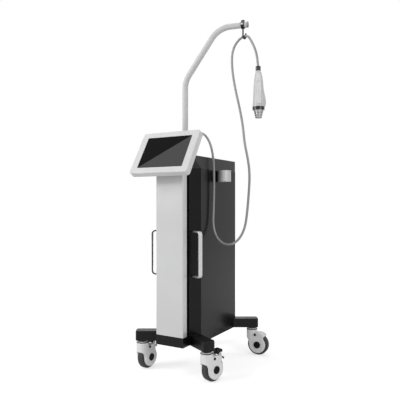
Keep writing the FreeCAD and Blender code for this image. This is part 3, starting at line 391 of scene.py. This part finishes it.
blackLid = {
    "colour": (0.0130, 0.0130, 0.0134), "cloud": (0.0160, 0.0160, 0.0164),
    "haze": 7.0, "gloss": (0.30, 0.38), "specular": 0.2,
    "edge": (0.06, 0.06, 0.06), "edgeRadius": 0.0016, "edgeAmount": 0.6,
    "dust": 0.04, "dustColour": (0.14, 0.14, 0.14),
    "grain": 1100.0, "grainDepth": 0.00002,
}
dress(skinFinish("blackLid", blackLid), "lid")

columnSilver = {
    "colour": (0.49, 0.49, 0.492), "cloud": (0.515, 0.515, 0.517),
    "haze": 4.0, "gloss": (0.34, 0.4), "specular": 0.4, "metallic": 0.4,
    "edge": (0.72, 0.72, 0.72), "edgeRadius": 0.0015, "edgeAmount": 0.5,
    "grain": 1800.0, "grainDepth": 0.000008,
}
dress(skinFinish("columnSilver", columnSilver), "column_panel")

whiteShell = {
    "colour": (0.525, 0.525, 0.525), "cloud": (0.55, 0.55, 0.55),
    "haze": 12.0, "gloss": (0.38, 0.46), "specular": 0.3,
    "edge": (0.70, 0.70, 0.70), "edgeRadius": 0.0012, "edgeAmount": 0.5,
    "grain": 1400.0, "grainDepth": 0.000008,
}
dress(skinFinish("whiteShell", whiteShell), "head_bezel", "head_rear_cover")

# handpiece: a slightly darker shell with a panel strip down its face whose lighter tone is a painted
# highlight
handShell = {
    "colour": (0.465, 0.465, 0.465), "cloud": (0.485, 0.485, 0.485),
    "haze": 20.0, "gloss": (0.36, 0.44), "specular": 0.3,
    "edge": (0.60, 0.60, 0.60), "edgeRadius": 0.0008, "edgeAmount": 0.5,
    "grain": 1800.0, "grainDepth": 0.000006,
}
dress(skinFinish("handShell", handShell), "handpiece_shell_front", "handpiece_shell_rear")

# panel and button: their lighter tone is a painted highlight down the handpiece's face
paintedHighlightStrip = {
    "colour": (0.54, 0.54, 0.54), "cloud": (0.565, 0.565, 0.565),
    "haze": 30.0, "gloss": (0.22, 0.30), "specular": 0.4,
    "grain": 1400.0, "grainDepth": 0.000006,
}
dress(skinFinish("paintedHighlightStrip", paintedHighlightStrip), "handpiece_panel", "handpiece_button")

casterShell = {
    "colour": (0.68, 0.68, 0.68), "cloud": (0.64, 0.64, 0.64),
    "haze": 26.0, "gloss": (0.30, 0.42), "specular": 0.45,
    "edge": (0.70, 0.70, 0.70), "edgeRadius": 0.0012, "edgeAmount": 0.5,
    "dust": 0.12, "dustColour": (0.46, 0.46, 0.45),
    "grain": 1400.0, "grainDepth": 0.000012,
}
dress(skinFinish("casterShell", casterShell), *["caster_housing_" + corner for corner in corners])

armPaint = {
    "colour": (0.46, 0.46, 0.46), "cloud": (0.485, 0.485, 0.485),
    "haze": 10.0, "gloss": (0.38, 0.46), "specular": 0.4,
    "grain": 500.0, "grainDepth": 0.000006,
}
dress(skinFinish("armPaint", armPaint), "arm_tube", "arm_socket")

greyCap = {
    "colour": (0.21, 0.21, 0.21), "cloud": (0.235, 0.235, 0.235),
    "haze": 40.0, "gloss": (0.4, 0.5), "specular": 0.4,
    "grain": 900.0, "grainDepth": 0.00002,
}
dress(skinFinish("greyCap", greyCap), "arm_end_cap")

polishedCup = {
    "colour": (0.43, 0.43, 0.43), "line": (0.51, 0.51, 0.51), "cloud": (0.47, 0.47, 0.47),
    "haze": 24.0, "gloss": (0.36, 0.44), "metallic": 0.35,
    "stretch": (30.0, 30.0, 1100.0), "lineDepth": 0.00001,
}
dress(metalFinish("polishedCup", polishedCup), "holder_cup")

platedSteel = {
    "colour": (0.42, 0.42, 0.43), "line": (0.5, 0.5, 0.51), "cloud": (0.46, 0.46, 0.46),
    "haze": 40.0, "gloss": (0.26, 0.38),
    "stretch": (700.0, 60.0, 700.0), "lineDepth": 0.00001,
}
platedMetal = metalFinish("platedSteel", platedSteel)
dress(platedMetal, "base_plate", "chassis_floor", "mid_shelf", "handle_screws", "cover_screws")

darkSteel = {
    "colour": (0.038, 0.038, 0.04), "line": (0.06, 0.06, 0.06), "cloud": (0.046, 0.046, 0.046),
    "haze": 60.0, "gloss": (0.3, 0.42),
    "stretch": (60.0, 60.0, 900.0), "lineDepth": 0.00001,
}
dress(metalFinish("darkSteel", darkSteel), "caster_stems", "cable_hook")

tipMetal = {
    "colour": (0.27, 0.27, 0.275), "line": (0.36, 0.36, 0.36), "cloud": (0.31, 0.31, 0.31),
    "haze": 60.0, "gloss": (0.22, 0.32),
    "stretch": (60.0, 60.0, 2200.0), "lineDepth": 0.00001,
}
dress(metalFinish("tipMetal", tipMetal), "tip_cartridge")

alloyCase = {
    "colour": (0.5, 0.5, 0.51), "line": (0.58, 0.58, 0.59), "cloud": (0.54, 0.54, 0.54),
    "haze": 20.0, "gloss": (0.36, 0.5),
    "stretch": (20.0, 700.0, 700.0), "lineDepth": 0.00001,
}
dress(metalFinish("alloyCase", alloyCase), "rf_generator", "power_supply")

solderMask = {
    "colour": (0.015, 0.09, 0.045), "cloud": (0.02, 0.12, 0.06),
    "haze": 120.0, "gloss": (0.25, 0.4), "specular": 0.5,
    "grain": 700.0, "grainDepth": 0.0001,
}
dress(skinFinish("solderMask", solderMask), "display_board", "control_board", "handpiece_board")

# handles: satin strap, bright on its broad faces, with sawn edges that face along the trolley and carry a
# painted tone of their own
satinHandle = {
    "colour": (0.50, 0.50, 0.50), "line": (0.58, 0.58, 0.58),
    "haze": 20.0, "gloss": (0.26, 0.36), "metallic": 0.5,
    "stretch": (900.0, 900.0, 14.0), "lineDepth": 0.00001,
    "edgeFrom": 0.58, "edgeFull": 0.76,
}


def handleFinish(name, look):
    material, tree, shader = newFinish(name, look)
    face = addNode(tree, "ShaderNodeNewGeometry")
    facing = addNode(tree, "ShaderNodeSeparateXYZ")
    tree.links.new(face.outputs["Normal"], facing.inputs["Vector"])
    along = reckon(tree, "Math", "ABSOLUTE", facing.outputs["Y"])
    edge = ramp(tree, along.outputs["Value"], look["edgeFrom"], look["edgeFull"])
    hazeOver(tree, shader, look)
    broad = mixColours(tree, linesOver(tree, shader, look), look["colour"], look["line"])
    # the edges get their painted tone: painted shade on the left strap, a painted highlight on the right
    # one
    tree.links.new(mixColours(tree, edge, broad, look["paintedEdgeTone"]), shader.inputs["Base Color"])
    return material


# the left strap's edges are painted dark as shade; the right one's are painted as bright as its faces, as
# a highlight
paintedEdgeTones = {"left": (0.05, 0.05, 0.05), "right": (0.55, 0.55, 0.55)}
for hand, paintedEdgeTone in paintedEdgeTones.items():
    dress(handleFinish("satinHandle" + hand.capitalize(), {**satinHandle, "paintedEdgeTone": paintedEdgeTone}), "handle_" + hand)

# screen glass: dark, with a painted reflection that makes it lighter below the slant from its top right to
# its bottom left corner
screenGlass = {
    "colour": (0.0035, 0.0035, 0.0038), "paintedReflection": (0.056, 0.056, 0.057),
    "haze": 25.0, "gloss": (0.05, 0.1), "specular": 0.05,
    "middle": (0.0, -0.292, 0.938), "tilt": 32.0, "width": 0.217, "height": 0.155, "blur": 0.0016,
}


def glassFinish(look):
    material, tree, shader = newFinish("screenGlass", look)
    lean = math.radians(look["tilt"])
    up = Vector((0.0, math.sin(lean), math.cos(lean)))
    across = Vector((look["height"], 0.0, 0.0)) - up * look["width"]
    place = addNode(tree, "ShaderNodeTexCoord")
    middle = baseMiddle + Vector(look["middle"])
    centred = reckon(tree, "VectorMath", "SUBTRACT", place.outputs["Object"], middle)
    side = reckon(tree, "VectorMath", "DOT_PRODUCT", centred.outputs["Vector"], across.normalized())
    split = ramp(tree, side.outputs["Value"], -look["blur"], look["blur"])
    hazeOver(tree, shader, look)
    # the lighter side of the split is a painted reflection on the glass
    tree.links.new(mixColours(tree, split, look["colour"], look["paintedReflection"]), shader.inputs["Base Color"])
    return material


dress(glassFinish(screenGlass), "touch_glass")

# wheels: rubber tyre bonded to a pale hub, told apart by the distance from the axle
casterWheel = {
    "colour": (0.032, 0.032, 0.033), "cloud": (0.042, 0.042, 0.042),
    "haze": 40.0, "gloss": (0.5, 0.7), "specular": 0.3,
    "grain": 1200.0, "grainDepth": 0.00008,
    "hub": (0.5, 0.5, 0.5), "hubRadius": 0.034, "blur": 0.0004,
}


def wheelFinish(corner, look):
    material, tree, shader = newFinish("casterWheel_" + corner, look)
    axle = joints["roll_" + corner]
    place = addNode(tree, "ShaderNodeTexCoord")
    centred = reckon(tree, "VectorMath", "SUBTRACT", place.outputs["Object"], axle["pos_m"])
    spoke = reckon(tree, "VectorMath", "CROSS_PRODUCT", centred.outputs["Vector"], axle["axis"])
    away = reckon(tree, "VectorMath", "LENGTH", spoke.outputs["Vector"])
    inner = look["hubRadius"] - look["blur"]
    outer = look["hubRadius"] + look["blur"]
    split = ramp(tree, away.outputs["Value"], inner, outer)
    rubber = mixColours(tree, hazeOver(tree, shader, look), look["colour"], look["cloud"])
    tree.links.new(mixColours(tree, split, look["hub"], rubber), shader.inputs["Base Color"])
    grainOver(tree, shader, look)
    return material


for corner in corners:
    dress(wheelFinish(corner, casterWheel), "caster_wheel_" + corner)

cableRubber = {
    "colour": (0.21, 0.21, 0.21), "cloud": (0.235, 0.235, 0.235),
    "haze": 30.0, "gloss": (0.30, 0.40), "specular": 0.6,
    "grain": 1600.0, "grainDepth": 0.00002,
}
cable.data.materials.append(skinFinish("cableRubber", cableRubber))
print("finishes given to the nodes and the cable")


def addPiece(name, mesh, body, material):
    data = bpy.data.meshes.new(name)
    mesh.to_mesh(data)
    mesh.free()
    piece = bpy.data.objects.new(name, data)
    scene.collection.objects.link(piece)
    data.materials.append(material)
    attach(piece, body)


def boxOf(name):
    low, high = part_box(name)
    return Vector(low), Vector(high)


# adds one finished part to a piece made of several
def gather(piece, part):
    spare = bpy.data.meshes.new("spare")
    bmesh.ops.recalc_face_normals(part, faces=part.faces)
    part.to_mesh(spare)
    part.free()
    piece.from_mesh(spare)
    bpy.data.meshes.remove(spare)


# a low round head on +Z with a rounded rim, sunk a little into what it sits on
def roundHead(look):
    head = bmesh.new()
    bmesh.ops.create_circle(head, cap_ends=True, segments=look["segments"], radius=look["radius"])
    raised = bmesh.ops.extrude_face_region(head, geom=head.faces[:], use_keep_orig=True)
    crown = [part for part in raised["geom"] if isinstance(part, bmesh.types.BMVert)]
    bmesh.ops.translate(head, verts=crown, vec=(0.0, 0.0, look["proud"] + look["sunk"]))
    bmesh.ops.translate(head, verts=head.verts, vec=(0.0, 0.0, -look["sunk"]))
    rim = [edge for edge in head.edges if all(end in crown for end in edge.verts)]
    bmesh.ops.bevel(head, geom=rim, offset=look["round"], segments=look["roundSteps"], profile=0.5,
                    affect="EDGES", material=-1)
    return head


# moves a head to a place and turns its +X along and its +Z out
def setHead(head, place, along, out):
    turn = Matrix((along, out.cross(along), out)).transposed()
    bmesh.ops.transform(head, verts=head.verts, matrix=Matrix.Translation(place) @ turn.to_4x4())


# a round-section ring lying level about a place
ringCut = {"sides": 12, "steps": 60}


def roundRing(radius, thick, place):
    ring = bmesh.new()
    bmesh.ops.create_circle(ring, segments=ringCut["sides"], radius=thick)
    bmesh.ops.rotate(ring, verts=ring.verts, matrix=Matrix.Rotation(quarterTurn, 3, "X"))
    bmesh.ops.translate(ring, verts=ring.verts, vec=(radius, 0.0, 0.0))
    bmesh.ops.spin(ring, geom=ring.verts[:] + ring.edges[:], axis=(0.0, 0.0, 1.0), angle=math.tau,
                   steps=ringCut["steps"], use_merge=True)
    bmesh.ops.recalc_face_normals(ring, faces=ring.faces)
    bmesh.ops.translate(ring, verts=ring.verts, vec=place)
    for face in ring.faces:
        face.smooth = True
    return ring


# plugs: a low black button high on each cheek of a caster
casterPlug = {"back": 0.022, "height": 0.097, "side": 0.025, "radius": 0.0062, "proud": 0.0011,
              "sunk": 0.002, "round": 0.0008, "roundSteps": 3, "segments": 28}
# seals: a black ring round the foot of each swivel flange
swivelSeal = {"height": 0.1202, "radius": 0.0241, "thick": 0.0016}
for corner in corners:
    swivel = Vector(joints["swivel_" + corner]["pos_m"])
    swivel.z = 0.0
    trail = Vector(joints["roll_" + corner]["pos_m"]) - swivel
    trail.z = 0.0
    trail.normalize()
    plugs = bmesh.new()
    for side in (-1.0, 1.0):
        plug = roundHead(casterPlug)
        out = upward.cross(trail) * side
        place = swivel + trail * casterPlug["back"] + out * casterPlug["side"]
        place.z = casterPlug["height"]
        setHead(plug, place, trail, out)
        gather(plugs, plug)
    addPiece("casterPlugs_" + corner, plugs, "caster_" + corner, dullMoulding)
    sealPlace = swivel + upward * swivelSeal["height"]
    seal = roundRing(swivelSeal["radius"], swivelSeal["thick"], sealPlace)
    addPiece("swivelSeal_" + corner, seal, "caster_" + corner, dullMoulding)

# clamp screw: a plated socket head on the front of the hook's clamp
clampScrew = {"clampRadius": 0.016, "armTurn": 11.0, "radius": 0.0047, "proud": 0.0022, "sunk": 0.0012,
              "round": 0.001, "roundSteps": 3, "socketIn": 0.0016, "socketDeep": 0.0012, "segments": 30}
clampLow, clampHigh = boxOf("hook_clamp")
armWay = Matrix.Rotation(math.radians(clampScrew["armTurn"]), 3, "Z") @ Vector((1.0, 0.0, 0.0))
clampFront = armWay.cross(upward)
clampPlace = (clampLow + clampHigh) / 2
clampPlace.z = clampLow.z + clampScrew["clampRadius"]
screw = roundHead(clampScrew)
screwTop = max(screw.faces, key=lambda face: face.calc_center_median().z)
bmesh.ops.inset_region(screw, faces=[screwTop], thickness=clampScrew["socketIn"])
bmesh.ops.translate(screw, verts=screwTop.verts, vec=(0.0, 0.0, -clampScrew["socketDeep"]))
bmesh.ops.recalc_face_normals(screw, faces=screw.faces)
setHead(screw, clampPlace + clampFront * clampScrew["clampRadius"], armWay, clampFront)
addPiece("clampScrew", screw, "trolley", platedMetal)

# tip bands: dark rings round the tip's cone, at shares of its height from its end
tipBands = {"height": 0.0332, "topRadius": 0.0205, "endRadius": 0.01225, "thick": 0.0009, "out": -0.0003,
            "shares": (0.05, 0.34, 0.62)}
tipLow, tipHigh = boxOf("tip_cartridge")
bands = bmesh.new()
for share in tipBands["shares"]:
    place = (tipLow + tipHigh) / 2
    place.z = tipLow.z + tipBands["height"] * share
    radius = tipBands["endRadius"] + (tipBands["topRadius"] - tipBands["endRadius"]) * share
    gather(bands, roundRing(radius + tipBands["out"], tipBands["thick"], place))
addPiece("tipBands", bands, "tip", dullMoulding)

# mains pins: three flat blades in the socket on the rear, each with a tapered nose
mainsPins = {"back": 0.1605, "height": 0.203, "length": 0.0115, "size": (0.002, 0.004), "nose": 0.002,
             "noseIn": 0.0005, "round": 0.0003, "roundSteps": 2,
             "places": ((-0.007, -0.002), (0.007, -0.002), (0.0, 0.002))}
pins = bmesh.new()
for across, up in mainsPins["places"]:
    blade = bmesh.new()
    bmesh.ops.create_cube(blade, size=1.0)
    width, tall = mainsPins["size"]
    bmesh.ops.scale(blade, verts=blade.verts, vec=(width, mainsPins["length"], tall))
    blade.normal_update()
    nose = max(blade.faces, key=lambda face: face.calc_center_median().y)
    bmesh.ops.inset_region(blade, faces=[nose], thickness=mainsPins["noseIn"])
    bmesh.ops.translate(blade, verts=nose.verts, vec=(0.0, mainsPins["nose"], 0.0))
    bmesh.ops.bevel(blade, geom=blade.edges[:], offset=mainsPins["round"], affect="EDGES",
                    segments=mainsPins["roundSteps"], profile=0.5, material=-1)
    bladeMiddle = mainsPins["back"] + mainsPins["length"] / 2
    place = baseMiddle + Vector((across, bladeMiddle, mainsPins["height"] + up))
    bmesh.ops.translate(blade, verts=blade.verts, vec=place)
    gather(pins, blade)
addPiece("mainsPins", pins, "trolley", platedMetal)
print("plugs, seals, clamp screw, tip bands and mains pins fitted")

# floor: lit like the object, and lifted to white where nothing shades it, more so far away
paleFloor = {"size": 12.0, "drop": 0.0004, "colour": (0.5, 0.5, 0.5), "lift": 0.64, "farLift": 0.88,
             "near": 0.7, "far": 2.4, "bounce": (0.8, 0.8, 0.8)}
floorMesh = bmesh.new()
bmesh.ops.create_grid(floorMesh, x_segments=1, y_segments=1, size=paleFloor["size"] / 2)
bmesh.ops.translate(floorMesh, verts=floorMesh.verts, vec=(0.0, 0.0, -paleFloor["drop"]))
floorData = bpy.data.meshes.new("paleFloor")
floorMesh.to_mesh(floorData)
floorMesh.free()
floor = bpy.data.objects.new("paleFloor", floorData)
scene.collection.objects.link(floor)
floorMaterial = bpy.data.materials.new("paleFloor")
floorMaterial.use_nodes = True
floorTree = floorMaterial.node_tree
floorTree.nodes.remove(floorTree.nodes["Principled BSDF"])
floorSkin = addNode(floorTree, "ShaderNodeBsdfDiffuse")
floorSkin.inputs["Color"].default_value = (*paleFloor["colour"], 1.0)
floorBounce = addNode(floorTree, "ShaderNodeBsdfDiffuse")
floorBounce.inputs["Color"].default_value = (*paleFloor["bounce"], 1.0)
floorPlace = addNode(floorTree, "ShaderNodeTexCoord")
floorAway = reckon(floorTree, "VectorMath", "DISTANCE", floorPlace.outputs["Object"], baseMiddle)
floorGlow = ramp(floorTree, floorAway.outputs["Value"], paleFloor["near"], paleFloor["far"],
                 ends=(paleFloor["lift"], paleFloor["farLift"]))
floorLift = addNode(floorTree, "ShaderNodeEmission")
floorTree.links.new(floorGlow, floorLift.inputs["Strength"])
floorSeen = addNode(floorTree, "ShaderNodeAddShader")
floorTree.links.new(floorSkin.outputs["BSDF"], floorSeen.inputs[0])
floorTree.links.new(floorLift.outputs["Emission"], floorSeen.inputs[1])
floorMix = mixShaders(
    floorTree, seenRays(floorTree), floorBounce.outputs["BSDF"], floorSeen.outputs["Shader"])
floorTree.links.new(floorMix, floorTree.nodes["Material Output"].inputs["Surface"])
floorData.materials.append(floorMaterial)

# studio: an even pale room, with a soft lamp on the left, a weaker one on the right and one overhead
paleRoom = {"colour": (1.0, 1.0, 1.0), "fill": 0.45, "seen": 1.0}
lamps = {
    "keyLamp": {"place": (-2.1, -2.5, 2.4), "aim": (-0.08, 0.0, 0.75), "watts": 84.0, "size": 1.6},
    "sideLamp": {"place": (2.5, -1.2, 2.0), "aim": (0.0, 0.0, 0.75), "watts": 35.0, "size": 1.7},
    "topLamp": {"place": (0.0, 0.6, 3.4), "aim": (0.0, 0.0, 0.8), "watts": 20.0, "size": 1.6},
}
room = bpy.data.worlds.new("paleRoom")
scene.world = room
room.use_nodes = True
roomTree = room.node_tree
roomFill = roomTree.nodes["Background"]
roomSeen = addNode(roomTree, "ShaderNodeBackground")
for background, strength in ((roomFill, paleRoom["fill"]), (roomSeen, paleRoom["seen"])):
    background.inputs["Color"].default_value = (*paleRoom["colour"], 1.0)
    background.inputs["Strength"].default_value = strength
roomMix = mixShaders(
    roomTree, seenRays(roomTree), roomFill.outputs["Background"], roomSeen.outputs["Background"])
roomTree.links.new(roomMix, roomTree.nodes["World Output"].inputs["Surface"])
for name, lamp in lamps.items():
    lampData = bpy.data.lights.new(name, "AREA")
    lampData.energy = lamp["watts"]
    lampData.size = lamp["size"]
    lampObject = bpy.data.objects.new(name, lampData)
    lampObject.location = lamp["place"]
    towards = Vector(lamp["aim"]) - Vector(lamp["place"])
    lampObject.rotation_euler = towards.to_track_quat("-Z", "Y").to_euler()
    scene.collection.objects.link(lampObject)
print("floor, room and lamps set")
